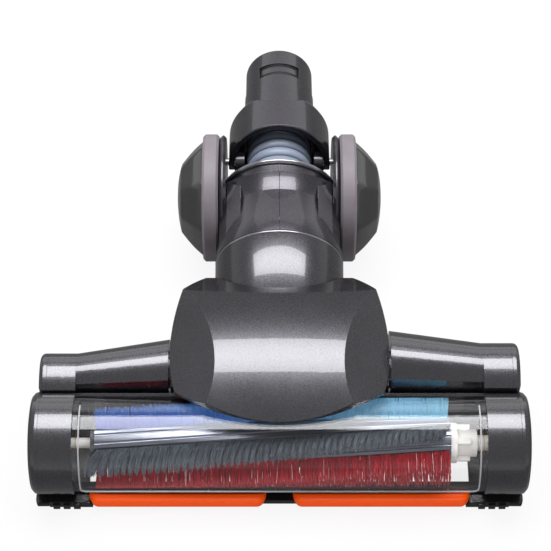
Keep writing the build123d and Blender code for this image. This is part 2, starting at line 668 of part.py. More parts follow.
def axle(side):
    """Axle pressed into the cheek, with a groove for its clip."""
    pin = x_cylinder(AXLE_R, 21.2, TYRE_OUT + 8.4, AXLE_Y, WHEEL_R)
    pin -= turned_x([(TYRE_OUT + 5.5, 2.9), (TYRE_OUT + 5.5, 6), (TYRE_OUT + 6.6, 6), (TYRE_OUT + 6.6, 2.9)],
                    AXLE_Y, WHEEL_R)
    return on_side(pin, side)


def axle_clip(side):
    clip = x_cylinder(6.6, TYRE_OUT + 5.55, TYRE_OUT + 6.55, AXLE_Y, WHEEL_R)
    clip -= x_cylinder(2.95, TYRE_OUT, TYRE_OUT + 9, AXLE_Y, WHEEL_R)
    clip -= block(TYRE_OUT, TYRE_OUT + 9, AXLE_Y - 2.2, AXLE_Y + 2.2, WHEEL_R - 9, WHEEL_R)
    return on_side(clip, side)


def hinge_pin(side):
    return on_side(x_cylinder(PIN_R, ARM_IN + 0.4, CHEEK_OUT - 0.1, HINGE_Y, AXIS_Z), side)


# Wand

def wand_tube():
    """Spigot tube: a root in the collar, a fitting land and a slimmer nose with a shallow latch slot on top."""
    tube = turned_y([
        (COLLAR_SHOULDER - 3.0, ROOT_R), (ROOT_END, ROOT_R), (ROOT_END, TUBE_R), (LAND_END, TUBE_R),
        (LAND_END, NOSE_R), (TUBE_END - 0.6, NOSE_R), (TUBE_END, NOSE_R - 0.6), (TUBE_END, TUBE_BORE),
        (COLLAR_SHOULDER, TUBE_BORE),
        (COLLAR_SHOULDER, CUFF_R + 0.4), (COLLAR_SHOULDER - 3.0, CUFF_R + 0.4)])
    ramp = make_face(Polyline((SLOT_FROM, NOSE_R + 1), (SLOT_TO, NOSE_R + 1), (SLOT_TO, NOSE_R - SLOT_DEEP),
                              (SLOT_TO - 6.0, NOSE_R - SLOT_DEEP), (SLOT_FROM, NOSE_R + 0.01), close=True))
    slot = revolve(Plane.YZ * ramp, Axis.Y) & block(-SLOT_HALF, SLOT_HALF, 40, 70, 0, 30)
    return one(tube - slot)


def wand_collar():
    """Collar with a scalloped shoulder, a key on the tube and two hinge arms."""
    collar = turned_y([
        (COLLAR_FRONT, COLLAR_R - COLLAR_WALL), (COLLAR_FRONT, COLLAR_R - 0.5), (COLLAR_FRONT + 0.5, COLLAR_R),
        (COLLAR_SHOULDER, COLLAR_R), (COLLAR_BACK - 1.0, COLLAR_R - 1.6), (COLLAR_BACK, COLLAR_R - 3.0),
        (COLLAR_BACK, ROOT_R + SEAT), (COLLAR_SHOULDER - 3.1, ROOT_R + SEAT),
        (COLLAR_SHOULDER - 3.1, COLLAR_R - COLLAR_WALL)])
    collar -= block(-60, 60, COLLAR_FRONT - 1, 8.0, -60, -2.0)
    cut = Pos(0, COLLAR_BACK + 6.0, 0) * Cylinder(15.5, 80)
    collar -= cut & block(-30, 30, 10, 40, 0, 40)
    for side in (1, -1):
        arm = block(side * ARM_IN, side * ARM_OUT, 0, COLLAR_SHOULDER - 3.1, -ARM_R, ARM_R)
        arm += x_cylinder(ARM_R, side * ARM_IN, side * ARM_OUT, 0, 0)
        collar += arm
        collar -= x_cylinder(PIN_R + RUN, side * (ARM_IN - 1), side * (ARM_OUT + 8), 0, 0)
    key = block(-KEY_W / 2, KEY_W / 2, COLLAR_SHOULDER - 4.5, COLLAR_BACK + KEY_LENGTH, ROOT_R - 1.0, ROOT_R + 1.6)
    collar += key - y_cylinder(ROOT_R + SEAT, 0, 80)
    return one(collar)


def hose_cuff(y0, y1):
    return turned_y([(y0, CUFF_BORE), (y0, CUFF_R), (y1, CUFF_R), (y1, CUFF_BORE)])


def flex_hose():
    """Corrugated hose that bends from the neck axis to the wand axis about the hinge."""
    reach = HOSE_PITCH * HOSE_RIBS / 2
    low = HOSE_R - 1.5
    points = [(-reach, HOSE_BORE), (-reach, low)]
    for rib in range(HOSE_RIBS // 2 + 2):
        centre = (rib + 0.5) * HOSE_PITCH - reach
        points += [(centre - 1.8, low), (centre - 0.8, HOSE_R), (centre + 0.8, HOSE_R), (centre + 1.8, low)]
    points += [(points[-1][0] + 0.6, low), (points[-1][0] + 0.6, HOSE_BORE)]
    turn = math.radians(DROOP / 2)
    middle = Plane(origin=(0, 0, 0), x_dir=(1, 0, 0), z_dir=(0, math.cos(turn), -math.sin(turn)))
    front = turned_y(points) - extrude(middle * Rectangle(100, 100), 50)
    hose = front + mirror(front, middle)
    return Pos(0, HINGE_Y, AXIS_Z) * one(hose)


def contact_block():
    """Plug housing under the tube, behind the collar."""
    plug = block(-9, 9, COLLAR_BACK - 2.0, COLLAR_BACK + 9.0, -TUBE_R - 5.6, -TUBE_R + 3.0)
    plug = fillet(plug.edges().filter_by(Axis.Y).group_by(Axis.Z)[0], 2.0)
    plug -= y_cylinder(ROOT_R + SEAT, 0, 80)
    plug -= turned_y([(0, 0), (0, COLLAR_R + 1), (COLLAR_BACK + 0.02, COLLAR_R + 1), (COLLAR_BACK + 0.02, 0)])
    for side in (1, -1):
        plug -= block(side * 3.0, side * 6.0, COLLAR_BACK + 1.0, COLLAR_BACK + 12.0, -TUBE_R - 4.0, -TUBE_R - 1.6)
    return one(plug)


def contact_blades():
    blades = []
    for side in (1, -1):
        blades.append(block(side * 3.6, side * 5.4, COLLAR_BACK + 1.0, COLLAR_BACK + 8.4, -TUBE_R - 3.2, -TUBE_R - 2.4))
    return Compound(children=blades)


def end_lock():
    """Coin-turn lock: a disc with a slot and a short stem."""
    outside = -HALF_WIDTH
    lock = brush_cylinder(9.0, outside, outside + 2.9)
    lock += brush_cylinder(3.0, outside + 2.0, -CAP_OUT + 1.0)
    return lock - (Pos(outside, BRUSH_Y, BRUSH_Z) * Box(2.6, 14.0, 2.2))


# Build every node and write one file each

nodes = {
    "rear_housing": rear_housing(),
    "brush_window": brush_window(),
    "sole_plate": sole_plate(),
    "sole_screws": screw_set(SOLE_SCREWS, 0.0, 0),
    "brush_core": brush_core(),
    "brush_drive_dog": drive_dog(),
    "brush_journal": brush_journal(),
    "brush_pulley": pulley(BRUSH_PULLEY_R, 3.5 + SEAT, BRUSH_Y, BRUSH_Z),
    "motor_can": motor_can(),
    "motor_shaft": x_cylinder(SHAFT_R, MOTOR_FROM + 0.5, BELT_TO + 2.0, 0, MOTOR_Z),
    "motor_pulley": pulley(MOTOR_PULLEY_R, SHAFT_R + SEAT, 0, MOTOR_Z),
    "drive_belt": drive_belt(),
    "bearing_right": brush_cylinder(7.0, WINDOW_HALF, BELT_FROM - 2.1) - brush_cylinder(3.5 + RUN, WINDOW_HALF - 1, BELT_FROM),
    "bearing_left": brush_cylinder(6.0, -WINDOW_HALF - 4.0, -WINDOW_HALF) - brush_cylinder(2.4 + RUN, -WINDOW_HALF - 5, 1 - WINDOW_HALF),
    "end_lock": end_lock(),
    "hood": hood(),
    "turret_base": turret_base(),
    "elbow": elbow(),
    "snap_ring": snap_ring(),
    "hose_cuff_lower": Pos(0, 0, AXIS_Z) * hose_cuff(74.0, HINGE_Y - 14.0),
    "flex_hose": flex_hose(),
    "wand_tube": WAND_AT * wand_tube(),
    "wand_collar": WAND_AT * wand_collar(),
    "hose_cuff_upper": WAND_AT * hose_cuff(14.0, COLLAR_SHOULDER),
    "contact_block": WAND_AT * contact_block(),
    "contact_blades": WAND_AT * contact_blades(),
}
for row in range(ROWS):
    colour = ("red", "grey", "blue")[row % 3]
    nodes[f"{colour}_bristles_{row // 3 + 1}"] = bristle_row(row)
whole_neck = neck()
for side, name in ((1, "right"), (-1, "left")):
    nodes[f"end_cap_{name}"] = end_cap(side)
    nodes[f"end_plate_{name}"] = end_plate(side)
    nodes[f"front_bumper_{name}"] = bumper(side)
    nodes[f"neck_{name}"] = neck_half(whole_neck, side)
    nodes[f"tyre_{name}"] = tyre(side)
    nodes[f"wheel_rim_{name}"] = wheel_rim(side)
    nodes[f"hub_cap_{name}"] = hub_cap(side)
    nodes[f"axle_{name}"] = axle(side)
    nodes[f"axle_clip_{name}"] = axle_clip(side)
    nodes[f"hinge_pin_{name}"] = hinge_pin(side)

for name, shape in nodes.items():
    export_step(shape, f"parts/{name}.step")
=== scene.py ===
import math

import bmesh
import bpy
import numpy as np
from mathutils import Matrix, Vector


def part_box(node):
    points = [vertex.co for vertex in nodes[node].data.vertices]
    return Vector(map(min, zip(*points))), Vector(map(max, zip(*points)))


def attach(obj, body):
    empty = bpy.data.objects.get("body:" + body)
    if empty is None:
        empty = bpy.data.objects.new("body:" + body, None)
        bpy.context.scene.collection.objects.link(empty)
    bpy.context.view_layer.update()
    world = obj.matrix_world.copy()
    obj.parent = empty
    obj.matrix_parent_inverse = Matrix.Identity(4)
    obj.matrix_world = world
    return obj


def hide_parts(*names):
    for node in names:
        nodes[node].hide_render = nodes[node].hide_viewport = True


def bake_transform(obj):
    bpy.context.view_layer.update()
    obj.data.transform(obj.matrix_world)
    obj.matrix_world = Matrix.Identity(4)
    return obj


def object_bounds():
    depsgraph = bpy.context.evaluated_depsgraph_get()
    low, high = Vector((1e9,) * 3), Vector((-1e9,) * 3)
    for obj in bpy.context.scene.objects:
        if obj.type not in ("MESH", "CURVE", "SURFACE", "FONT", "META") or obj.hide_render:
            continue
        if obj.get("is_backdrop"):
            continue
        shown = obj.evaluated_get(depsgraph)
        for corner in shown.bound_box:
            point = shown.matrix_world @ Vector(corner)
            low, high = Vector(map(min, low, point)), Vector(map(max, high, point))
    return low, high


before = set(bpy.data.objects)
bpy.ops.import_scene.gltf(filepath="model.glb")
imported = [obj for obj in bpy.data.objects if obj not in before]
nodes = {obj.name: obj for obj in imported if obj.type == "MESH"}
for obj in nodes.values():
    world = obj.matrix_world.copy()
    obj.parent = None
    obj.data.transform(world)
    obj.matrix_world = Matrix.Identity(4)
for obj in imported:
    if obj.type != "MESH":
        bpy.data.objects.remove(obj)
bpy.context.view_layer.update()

# %% [markdown]
# # A vacuum floor head, dressed for the camera
# This lesson gives those pieces their finishes, and makes the things that solids are poor at: bristles,
# plush, a ribbed hose and softly rounded caps and bars.

MM = 0.001

# %% [markdown]
# ## From arrays to meshes
# A surface is worked out as an array of points first, and only then handed to Blender in one go. A grid of
# points needs no list of faces typed by hand: each face joins a point to its neighbours in the two
# directions. A closed direction wraps round to its start.

# %% Grid surfaces
WELD = 0.001


def grid_faces(rows, columns, wrap_rows=False, wrap_columns=False):
    """Corner numbers of the quads of a rows-by-columns grid: (i, j), (i+1, j), (i+1, j+1), (i, j+1)."""
    last_row = rows if wrap_rows else rows - 1
    last_column = columns if wrap_columns else columns - 1
    i, j = np.meshgrid(np.arange(last_row), np.arange(last_column), indexing="ij")
    near, far = i * columns, (i + 1) % rows * columns
    here, there = j, (j + 1) % columns
    return np.stack([near + here, far + here, far + there, near + there], axis=-1).reshape(-1, 4)


def new_piece(name, points, faces, merge=False):
    """A smooth mesh piece at the origin from points in millimetres and an array of quads.

    With merge, points that lie on one another become one, which closes the poles of a surface."""
    mesh = bpy.data.meshes.new(name)
    mesh.from_pydata((points.reshape(-1, 3) * MM).tolist(), [], faces.tolist())
    if merge:
        shape = bmesh.new()
        shape.from_mesh(mesh)
        bmesh.ops.remove_doubles(shape, verts=shape.verts, dist=WELD * MM)
        bmesh.ops.recalc_face_normals(shape, faces=shape.faces)
        shape.to_mesh(mesh)
        shape.free()
    mesh.polygons.foreach_set("use_smooth", np.ones(len(mesh.polygons), dtype=bool))
    mesh.update()
    piece = bpy.data.objects.new(name, mesh)
    bpy.context.scene.collection.objects.link(piece)
    return piece


print("a grid of 3 by 4 points has", len(grid_faces(3, 4)), "faces")

# %% [markdown]
# ## Shader sums in plain Python
# A finish is a little network of nodes. Written node by node it is hard to read, so one small class wraps a
# socket: adding or multiplying two of them adds the Math node that does it. Any other node comes from `add`.

# %% The wire class
class Wire:
    """A socket of a shader network. Sums of wires add Math nodes; add() makes any other node."""

    def __init__(self, tree, socket=None):
        self.tree = tree
        self.socket = socket

    def add(self, kind, settings=None, sockets=None, out=0):
        """A node of this kind: settings first, then values or wires for its sockets. Returns one output."""
        node = self.tree.nodes.new(kind)
        for key, value in (settings or {}).items():
            setattr(node, key, value)
        for key, value in (sockets or {}).items():
            if isinstance(value, Wire):
                self.tree.links.new(value.socket, node.inputs[key])
            else:
                node.inputs[key].default_value = value
        return Wire(self.tree, node.outputs[out] if node.outputs else None)

    def math(self, operation, *values):
        """A Math node with this operation."""
        return self.add("ShaderNodeMath", {"operation": operation}, dict(enumerate(values)))

    def __add__(self, other):
        return self.math("ADD", self, other)

    def __rsub__(self, other):
        return self.math("SUBTRACT", other, self)

    def __mul__(self, other):
        return self.math("MULTIPLY", self, other)

    __radd__ = __add__

    def step(self, low, high):
        """0 below low, 1 above high and smooth between."""
        return self.add("ShaderNodeMapRange", {"interpolation_type": "SMOOTHSTEP", "clamp": True},
                        {"Value": self, "From Min": low, "From Max": high})


# %% [markdown]
# ## Helpers that every finish uses
# Sizes are in millimetres in the piece's own space, so a pattern keeps its grain and stays on its piece when
# the piece moves. Colours are picked as they look on screen and turned into the values that shaders use.

# %% Finish helpers
EVEN = (1.0, 1.0, 1.0)
BEVEL_SAMPLES = 6


def start_finish(name):
    """An empty material and the wire that adds to it."""
    material = bpy.data.materials.new(name)
    material.use_nodes = True
    material.node_tree.nodes.clear()
    return material, Wire(material.node_tree)


def place(ink, stretch=EVEN):
    """Object coordinates in millimetres, stretched along the three axes."""
    where = ink.add("ShaderNodeTexCoord", out="Object")
    scale = tuple(s / MM for s in stretch)
    return ink.add("ShaderNodeMapping", {}, {"Vector": where, "Scale": scale})


def noise(ink, size, detail=2.0, stretch=EVEN):
    """Cloudy noise between 0 and 1; size is its grain in millimetres."""
    sockets = {"Vector": place(ink, stretch), "Scale": 1.0 / size, "Detail": detail}
    return ink.add("ShaderNodeTexNoise", {}, sockets)


def mix(ink, factor, first, second):
    """Colour between first (factor 0) and second (factor 1)."""
    return ink.add("ShaderNodeMix", {"data_type": "RGBA"}, {0: factor, 6: first, 7: second}, out=2)


def bump(ink, height, depth, edge=0.0):
    """A normal bumped by height; depth is in millimetres. An edge radius rounds the edges first."""
    sockets = {"Height": height, "Distance": depth * MM, "Strength": 1.0}
    if edge:
        sockets["Normal"] = ink.add("ShaderNodeBevel", {"samples": BEVEL_SAMPLES}, {"Radius": edge * MM})
    return ink.add("ShaderNodeBump", {}, sockets)


def end_finish(ink, **sockets):
    """The shader and the material's output. Underscores in the names stand for spaces."""
    named = {key.replace("_", " "): value for key, value in sockets.items()}
    shader = ink.add("ShaderNodeBsdfPrincipled", {}, named)
    ink.add("ShaderNodeOutputMaterial", {}, {"Surface": shader})


def rgb(red, green, blue):
    """A colour picked from 0 to 255 on screen, as the linear values that shaders use."""
    level = np.array([red, green, blue]) / 255.0
    linear = np.where(level <= 0.04045, level / 12.92, ((level + 0.055) / 1.055) ** 2.4)
    return (*linear.tolist(), 1.0)


def dress(material, *names):
    """Puts a finish on solid pieces, in every slot that they have."""
    for name in names:
        slots = nodes[name].data.materials
        for index in range(max(1, len(slots))):
            if index < len(slots):
                slots[index] = material
            else:
                slots.append(material)


print("half grey on screen is", round(rgb(128, 128, 128)[0], 3), "to a shader")

# %% [markdown]
# ## Graphite shell
# The hood, crossbar, caps and elbow are moulded in one dark plastic with fine metal flakes under a clear
# gloss. A flake is a cell about an eighth of a millimetre wide, and cells differ in brightness. The flakes
# are metal, so the shader is mostly metallic: it shines where a soft box is mirrored and is dark elsewhere.
# The clear coat adds a sharper shine. A Bevel node rounds the sharp edges of the solids in the shading only,
# so that every edge catches a thin line of light as moulded edges do.

# %% Graphite finish
GRAPHITE = rgb(70, 69, 72)
GRAPHITE_FLAKE = rgb(116, 115, 121)
FLAKE, FLAKE_TINT, FLAKE_ROUGH = 0.125, 0.6, 0.06
CLOUD, CLOUD_TINT, CLOUD_ROUGH = 18.0, 0.2, 0.05
SKIN, SKIN_DEPTH = 0.9, 0.0012
EDGE_R = 0.45


def graphite(name, dark, flake, rough, metallic=0.85, coat=1.0):
    """Plastic with metal flakes under a clear coat; rough is its least roughness."""
    material, ink = start_finish(name)
    cells = {"Vector": place(ink), "Scale": 1.0 / FLAKE}
    shade = ink.add("ShaderNodeTexVoronoi", {"feature": "F1"}, cells, out="Color")
    sparkle = ink.add("ShaderNodeSeparateColor", {}, {"Color": shade}).step(0.2, 1.0)
    cloud = noise(ink, CLOUD)
    end_finish(ink, Base_Color=mix(ink, sparkle * FLAKE_TINT + cloud * CLOUD_TINT, dark, flake),
               Metallic=metallic, Roughness=cloud * CLOUD_ROUGH + (rough + sparkle * FLAKE_ROUGH),
               Coat_Weight=coat, Coat_Roughness=0.03,
               Normal=bump(ink, noise(ink, SKIN), SKIN_DEPTH, EDGE_R))
    return material


graphite_shell = graphite("graphite_shell", GRAPHITE, GRAPHITE_FLAKE, 0.23)
dress(graphite_shell, "hood", "elbow", "rear_housing", "end_cap_left", "end_cap_right",
      "end_plate_left", "end_plate_right")
print("finish:", graphite_shell.name)

# %% [markdown]
# ## Darker mouldings
# The neck, its collar and the spigot tube are the same kind of plastic in a deeper shade with a thinner
# gloss. The sole and other hidden mouldings are plain black with a spark-eroded, leathery grain.

# %% Neck and black finishes
graphite_neck = graphite("graphite_neck", rgb(63, 61, 66), rgb(103, 101, 108), 0.24, coat=0.6)
dress(graphite_neck, "neck_left", "neck_right", "wand_tube", "wand_collar")


def satin(name, dark, worn, rough):
    """Satin plastic: a leathery grain and broad clouds take it from dark to worn."""
    grain_size, cloud_size, depth = 0.35, 22.0, 0.012
    material, ink = start_finish(name)
    grain = noise(ink, grain_size, detail=3.0)
    cloud = noise(ink, cloud_size)
    end_finish(ink, Base_Color=mix(ink, grain * 0.4 + cloud * 0.3, dark, worn), Metallic=0.15,
               Roughness=grain * 0.16 + (rough + cloud * 0.05), Coat_Weight=0.2, Coat_Roughness=0.2,
               Normal=bump(ink, grain, depth, EDGE_R))
    return material


black_moulding = satin("black_moulding", rgb(20, 20, 21), rgb(34, 34, 36), 0.36)
dress(black_moulding, "sole_plate", "turret_base", "wheel_rim_left", "wheel_rim_right", "contact_block",
      "hose_cuff_lower", "hose_cuff_upper", "end_lock")
print("finishes:", graphite_neck.name, black_moulding.name)

# %% [markdown]
# ## Rounded rims of the neck
# The neck is moulded with a round bead at both of its ends, where it meets the elbow and where the hose
# leaves it. A bead turns through every slope, so it always draws a thin bright line. It is a ring: a small
# circle carried round a large one. A row of the table gives its place on the axis, its radius and its bead.
# The rings get a much paler copy of the neck's finish, a painted highlight that makes that line brighter.

# %% Rim rings
AXIS_Z = 38.5
NECK_RINGS = (("neck_seam_ring", 51.3, 29.0, 0.65), ("neck_end_ring", 92.7, 26.5, 0.9))


def ring_surface(y, radius, bead, around=180, section=20):
    """Torus about the twist axis: (R + r cos v) round the axis and y + r sin v along it."""
    u = np.linspace(0, 2 * np.pi, around, endpoint=False)[:, None]
    v = np.linspace(0, 2 * np.pi, section, endpoint=False)[None]
    reach = radius + bead * np.cos(v)
    along = y + bead * np.sin(v) + 0.0 * u
    return np.stack([reach * np.cos(u), along, AXIS_Z + reach * np.sin(u)], axis=-1)


# painted highlight: the rings are the neck's plastic, coloured far paler than the neck so that their thin
# line shines brighter
ring_gloss = graphite("ring_gloss", rgb(150, 148, 154), rgb(190, 188, 195), 0.14)
for name, y, radius, bead in NECK_RINGS:
    surface = ring_surface(y, radius, bead)
    ring = new_piece(name, surface, grid_faces(*surface.shape[:2], True, True), merge=True)
    ring.data.materials.append(ring_gloss)
    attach(ring, "neck")
    print(ring.name, len(ring.data.polygons), "faces")

# %% [markdown]
# ## Hub caps
# Each wheel is closed by a glossy cap with eight soft facets. The solid has flat facets with sharp edges; the
# real cap swells a little between its corners, so the cap is made again as a surface: a profile from the
# tyre to the middle, carried round an axis with a radius that is nearly an octagon.

# %% Hub cap surface
AXLE_Y, AXLE_Z = 95.9, 30.5
CAP_FROM, CAP_FLAT, CAP_TOP = 36.25, 46.6, 48.6
CAP_BASE_R, CAP_FLAT_R, CAP_ROUND_R = 26.2, 15.6, 6.0
CAP_SHELL, CAP_SWELL, CAP_DOME = 2.2, 0.7, 2.2
CAP_SIDES, CAP_CORNERS = 8, 70.0


def cap_profile(shrink, cone_steps=26, dome_steps=22):
    """Distance along the axle and radius, from the rim to the pole: a swelling cone, then a low dome."""
    s = np.linspace(0.0, 1.0, cone_steps)
    cone_x = CAP_FROM + (CAP_FLAT - CAP_FROM) * s
    cone_r = CAP_BASE_R + (CAP_FLAT_R - CAP_BASE_R) * s + CAP_SWELL * np.sin(np.pi * s)
    d = np.linspace(0.04, 1.0, dome_steps)
    dome_r = CAP_FLAT_R * (1 - d)
    dome_x = CAP_FLAT + (CAP_TOP - CAP_FLAT) * (1 - (1 - d) ** CAP_DOME)
    x = np.concatenate([cone_x, dome_x])
    r = np.concatenate([cone_r, dome_r])
    return x - shrink * (x > CAP_FROM + 0.01), np.maximum(r - shrink, 0.0)


def octagon(phi, power):
    """Radius of a rounded octagon of unit inner radius: a p-norm of its eight sides' distances."""
    side = np.arange(CAP_SIDES) * 2 * np.pi / CAP_SIDES
    reach = np.maximum(np.cos(phi[:, None] - side[None]), 0.0) ** power
    return reach.sum(axis=1) ** (-1.0 / power)


def hub_surface(side, around=160):
    """Outside from pole to rim, then inside from rim to pole: (x, r) turned about the axle, r times octagon.

    Nearer to the pole than CAP_ROUND_R, the octagon fades into a circle."""
    x_out, r_out = cap_profile(0.0)
    x_in, r_in = cap_profile(CAP_SHELL)
    x = np.concatenate([x_out[::-1], x_in])
    r = np.concatenate([r_out[::-1], r_in])
    phi = np.linspace(0, 2 * np.pi, around, endpoint=False)
    ring = octagon(phi, CAP_CORNERS)
    facet = 1.0 + (ring[None] - 1.0) * np.clip(r / CAP_ROUND_R, 0, 1)[:, None]
    y = AXLE_Y + r[:, None] * facet * np.cos(phi)[None]
    z = AXLE_Z + r[:, None] * facet * np.sin(phi)[None]
    return np.stack([side * np.broadcast_to(x[:, None], y.shape), y, z], axis=-1)


hub_gloss = graphite("hub_gloss", rgb(62, 62, 62), rgb(94, 94, 92), 0.16, metallic=0.6)
for name, side in (("left", -1), ("right", 1)):
    surface = hub_surface(side)
    faces = grid_faces(*surface.shape[:2], wrap_columns=True)
    hub = new_piece(f"hub_dome_{name}", surface, faces, merge=True)
    hub.data.materials.append(hub_gloss)
    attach(hub, f"wheel_{name}")
    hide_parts(f"hub_cap_{name}")
    print(hub.name, len(hub.data.polygons), "faces")

# %% [markdown]
# ## Rubber, trim and metal
# Soft tyres have a dusty bloom; the orange bars are a smooth satin plastic; the belt is black rubber; small
# metal parts are turned or pressed steel with fine lathe lines. The metal core of the brush is drawn, so its
# lines are stretched along it.

# %% Small finishes
def rubber(name, dark, bloom, rough):
    """Dusty rubber: fine dust and broad clouds take it from dark to bloom."""
    dust_size, cloud_size, depth = 0.6, 9.0, 0.02
    material, ink = start_finish(name)
    dust = noise(ink, dust_size, detail=4.0)
    cloud = noise(ink, cloud_size)
    end_finish(ink, Base_Color=mix(ink, dust * 0.5 + cloud * 0.35, dark, bloom),
               Roughness=dust * 0.2 + rough, Normal=bump(ink, dust, depth))
    return material


def trim(name, colour, deep, rough, shine=0.5, coat=0.25):
    """Smooth plastic: broad clouds and a fine skin take it from its colour to a deeper one."""
    cloud_size, skin_size, depth = 14.0, 0.5, 0.005
    material, ink = start_finish(name)
    cloud = noise(ink, cloud_size)
    skin = noise(ink, skin_size, detail=3.0)
    end_finish(ink, Base_Color=mix(ink, cloud * 0.5 + skin * 0.1, colour, deep),
               Roughness=skin * 0.12 + rough, Specular_IOR_Level=shine, Coat_Weight=coat, Coat_Roughness=0.15,
               Normal=bump(ink, skin, depth))
    return material


def metal(name, colour, shade, rough, along=0.05):
    """Bare metal with lines along x; the smaller the stretch given as along, the longer they are."""
    line_size, depth = 0.35, 0.006
    material, ink = start_finish(name)
    lines = noise(ink, line_size, detail=3.0, stretch=(along, 1.0, 1.0))
    end_finish(ink, Base_Color=mix(ink, lines, shade, colour), Metallic=1.0, Roughness=lines * 0.18 + rough,
               Normal=bump(ink, lines, depth))
    return material


WHITE = rgb(222, 220, 216)
tyre_rubber = rubber("tyre_rubber", rgb(108, 101, 107), rgb(148, 141, 148), 0.42)
dress(tyre_rubber, "tyre_left", "tyre_right")
belt_rubber = rubber("belt_rubber", rgb(26, 26, 26), rgb(48, 48, 48), 0.6)
dress(belt_rubber, "drive_belt")
orange_trim = trim("orange_trim", rgb(236, 80, 2), rgb(216, 66, 1), 0.38, shine=0.2, coat=0.05)
white_plastic = trim("white_plastic", WHITE, rgb(198, 195, 190), 0.38)
dress(white_plastic, "brush_drive_dog", "brush_pulley", "motor_pulley")
steel = metal("steel", rgb(200, 200, 202), rgb(150, 150, 153), 0.25)
dress(steel, "sole_screws", "motor_shaft", "axle_left", "axle_right", "axle_clip_left", "axle_clip_right",
      "hinge_pin_left", "hinge_pin_right", "snap_ring", "motor_can")
bronze = metal("bronze", rgb(196, 160, 96), rgb(150, 116, 62), 0.35)
dress(bronze, "bearing_left", "bearing_right", "contact_blades")
core_silver = metal("core_silver", rgb(186, 190, 202), rgb(84, 88, 100), 0.26, along=0.01)
dress(core_silver, "brush_core")
print("small finishes:", tyre_rubber.name, orange_trim.name, white_plastic.name, steel.name, core_silver.name)

# %% [markdown]
# ## A piece in two colours
# The plug at the left end of the brush is dark, and the stub that it turns on is white. They are one solid,
# so the finish changes colour at a place along x.

# %% Brush plug
PLUG_FROM, PLUG_FADE = -84.1, 0.2
plug_plastic, ink = start_finish("plug_plastic")
across = ink.add("ShaderNodeSeparateXYZ", {}, {"Vector": place(ink)})
skin = noise(ink, 0.5, detail=3.0)
plug_colour = mix(ink, across.step(PLUG_FROM - PLUG_FADE, PLUG_FROM), WHITE, rgb(46, 46, 50))
end_finish(ink, Base_Color=plug_colour, Roughness=skin * 0.12 + 0.36, Normal=bump(ink, skin, 0.005))
dress(plug_plastic, "brush_journal")
print("finish:", plug_plastic.name)

# %% [markdown]
# ## The clear window
# The cover over the brush is polished clear plastic. A thin clear wall lets almost all light through, and its
# mirror share grows towards the edges, as the Fresnel law says. So the shader is a mirror whose Alpha is that
# share: what is not mirrored passes straight on, shadows included. The share has a cap, because a curved
# cover seen at a grazing angle would otherwise hide the brush behind the white of the room.

# %% Window finish
WINDOW_TINT = (0.93, 0.94, 0.96, 1.0)
WINDOW_IOR = 1.5
MIRROR_SHARE, MIRROR_CAP = 0.9, 0.09


def clear_plastic(name):
    """A polished mirror, present by the least of MIRROR_SHARE * Fresnel and MIRROR_CAP."""
    material, ink = start_finish(name)
    smear = noise(ink, 16.0)
    mirror = ink.add("ShaderNodeFresnel", {}, {"IOR": WINDOW_IOR})
    end_finish(ink, Base_Color=WINDOW_TINT, Metallic=1.0, Roughness=smear * 0.03 + 0.01,
               Alpha=mirror.math("MINIMUM", mirror * MIRROR_SHARE, MIRROR_CAP))
    return material


window_clear = clear_plastic("window_clear")
dress(window_clear, "brush_window")
print("finish:", window_clear.name)

# %% [markdown]
# ## Bumper bars
# Two orange bars guard the front edge. The solid bars have crisp ends; the real ones are rounded like a bar
# of soap, so each is made again as a surface: a squared-up oval carried along a line, which closes at both
# ends. The window curves into the bar's box, so points that would lie inside the window are pushed out.

# %% Bumper surface
BRUSH_Y, BRUSH_Z = -32.0, 21.5
WINDOW_CLEAR = 22.65
BAR_END, BAR_SECTION = 4.2, 0.55


def signed_power(value, power):
    """sign(value) |value|^power."""
    return np.sign(value) * np.abs(value) ** power


def soap_bar(low, high, end, section, along=97, around=64):
    """Section (cos(u)^section, sin(u)^section) with signs kept, times girth, carried along sin(v).

    At a distance d from an end, within the length given as end, girth is sqrt(1 - (1 - d / end)^2)."""
    middle, half = (low + high) / 2, (high - low) / 2
    v = np.linspace(-np.pi / 2, np.pi / 2, along)[:, None]
    u = np.linspace(0, 2 * np.pi, around, endpoint=False)[None]
    x = np.sin(v) * np.ones_like(u)
    inward = np.minimum(half[0] * (1.0 - np.abs(np.sin(v))) / end, 1.0)
    girth = np.sqrt(1.0 - (1.0 - inward) ** 2)
    y = girth * signed_power(np.cos(u), section)
    z = girth * signed_power(np.sin(u), section)
    return middle + half * np.stack([x, y, z], axis=-1)


def outside_window(points):
    """Points nearer to the brush axis than the window's face are pushed straight out to it."""
    away = points[..., 1:] - np.array([BRUSH_Y, BRUSH_Z])
    distance = np.linalg.norm(away, axis=-1, keepdims=True)
    points[..., 1:] += away * (np.maximum(distance, WINDOW_CLEAR) / distance - 1.0)
    return points


for side in ("left", "right"):
    low, high = (np.array(corner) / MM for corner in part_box(f"front_bumper_{side}"))
    surface = outside_window(soap_bar(low, high, BAR_END, BAR_SECTION))
    faces = grid_faces(*surface.shape[:2], wrap_columns=True)
    bar = new_piece(f"bumper_bar_{side}", surface, faces, merge=True)
    bar.data.materials.append(orange_trim)
    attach(bar, "head")
    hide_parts(f"front_bumper_{side}")
    print(bar.name, np.round(low, 1), np.round(high, 1))

# %% [markdown]
# ## Corner feet
# The black foot under each front corner reaches out to the end of the head, below the end plate. It is a low
# rounded block of the same surface, set against the foot of the sole.

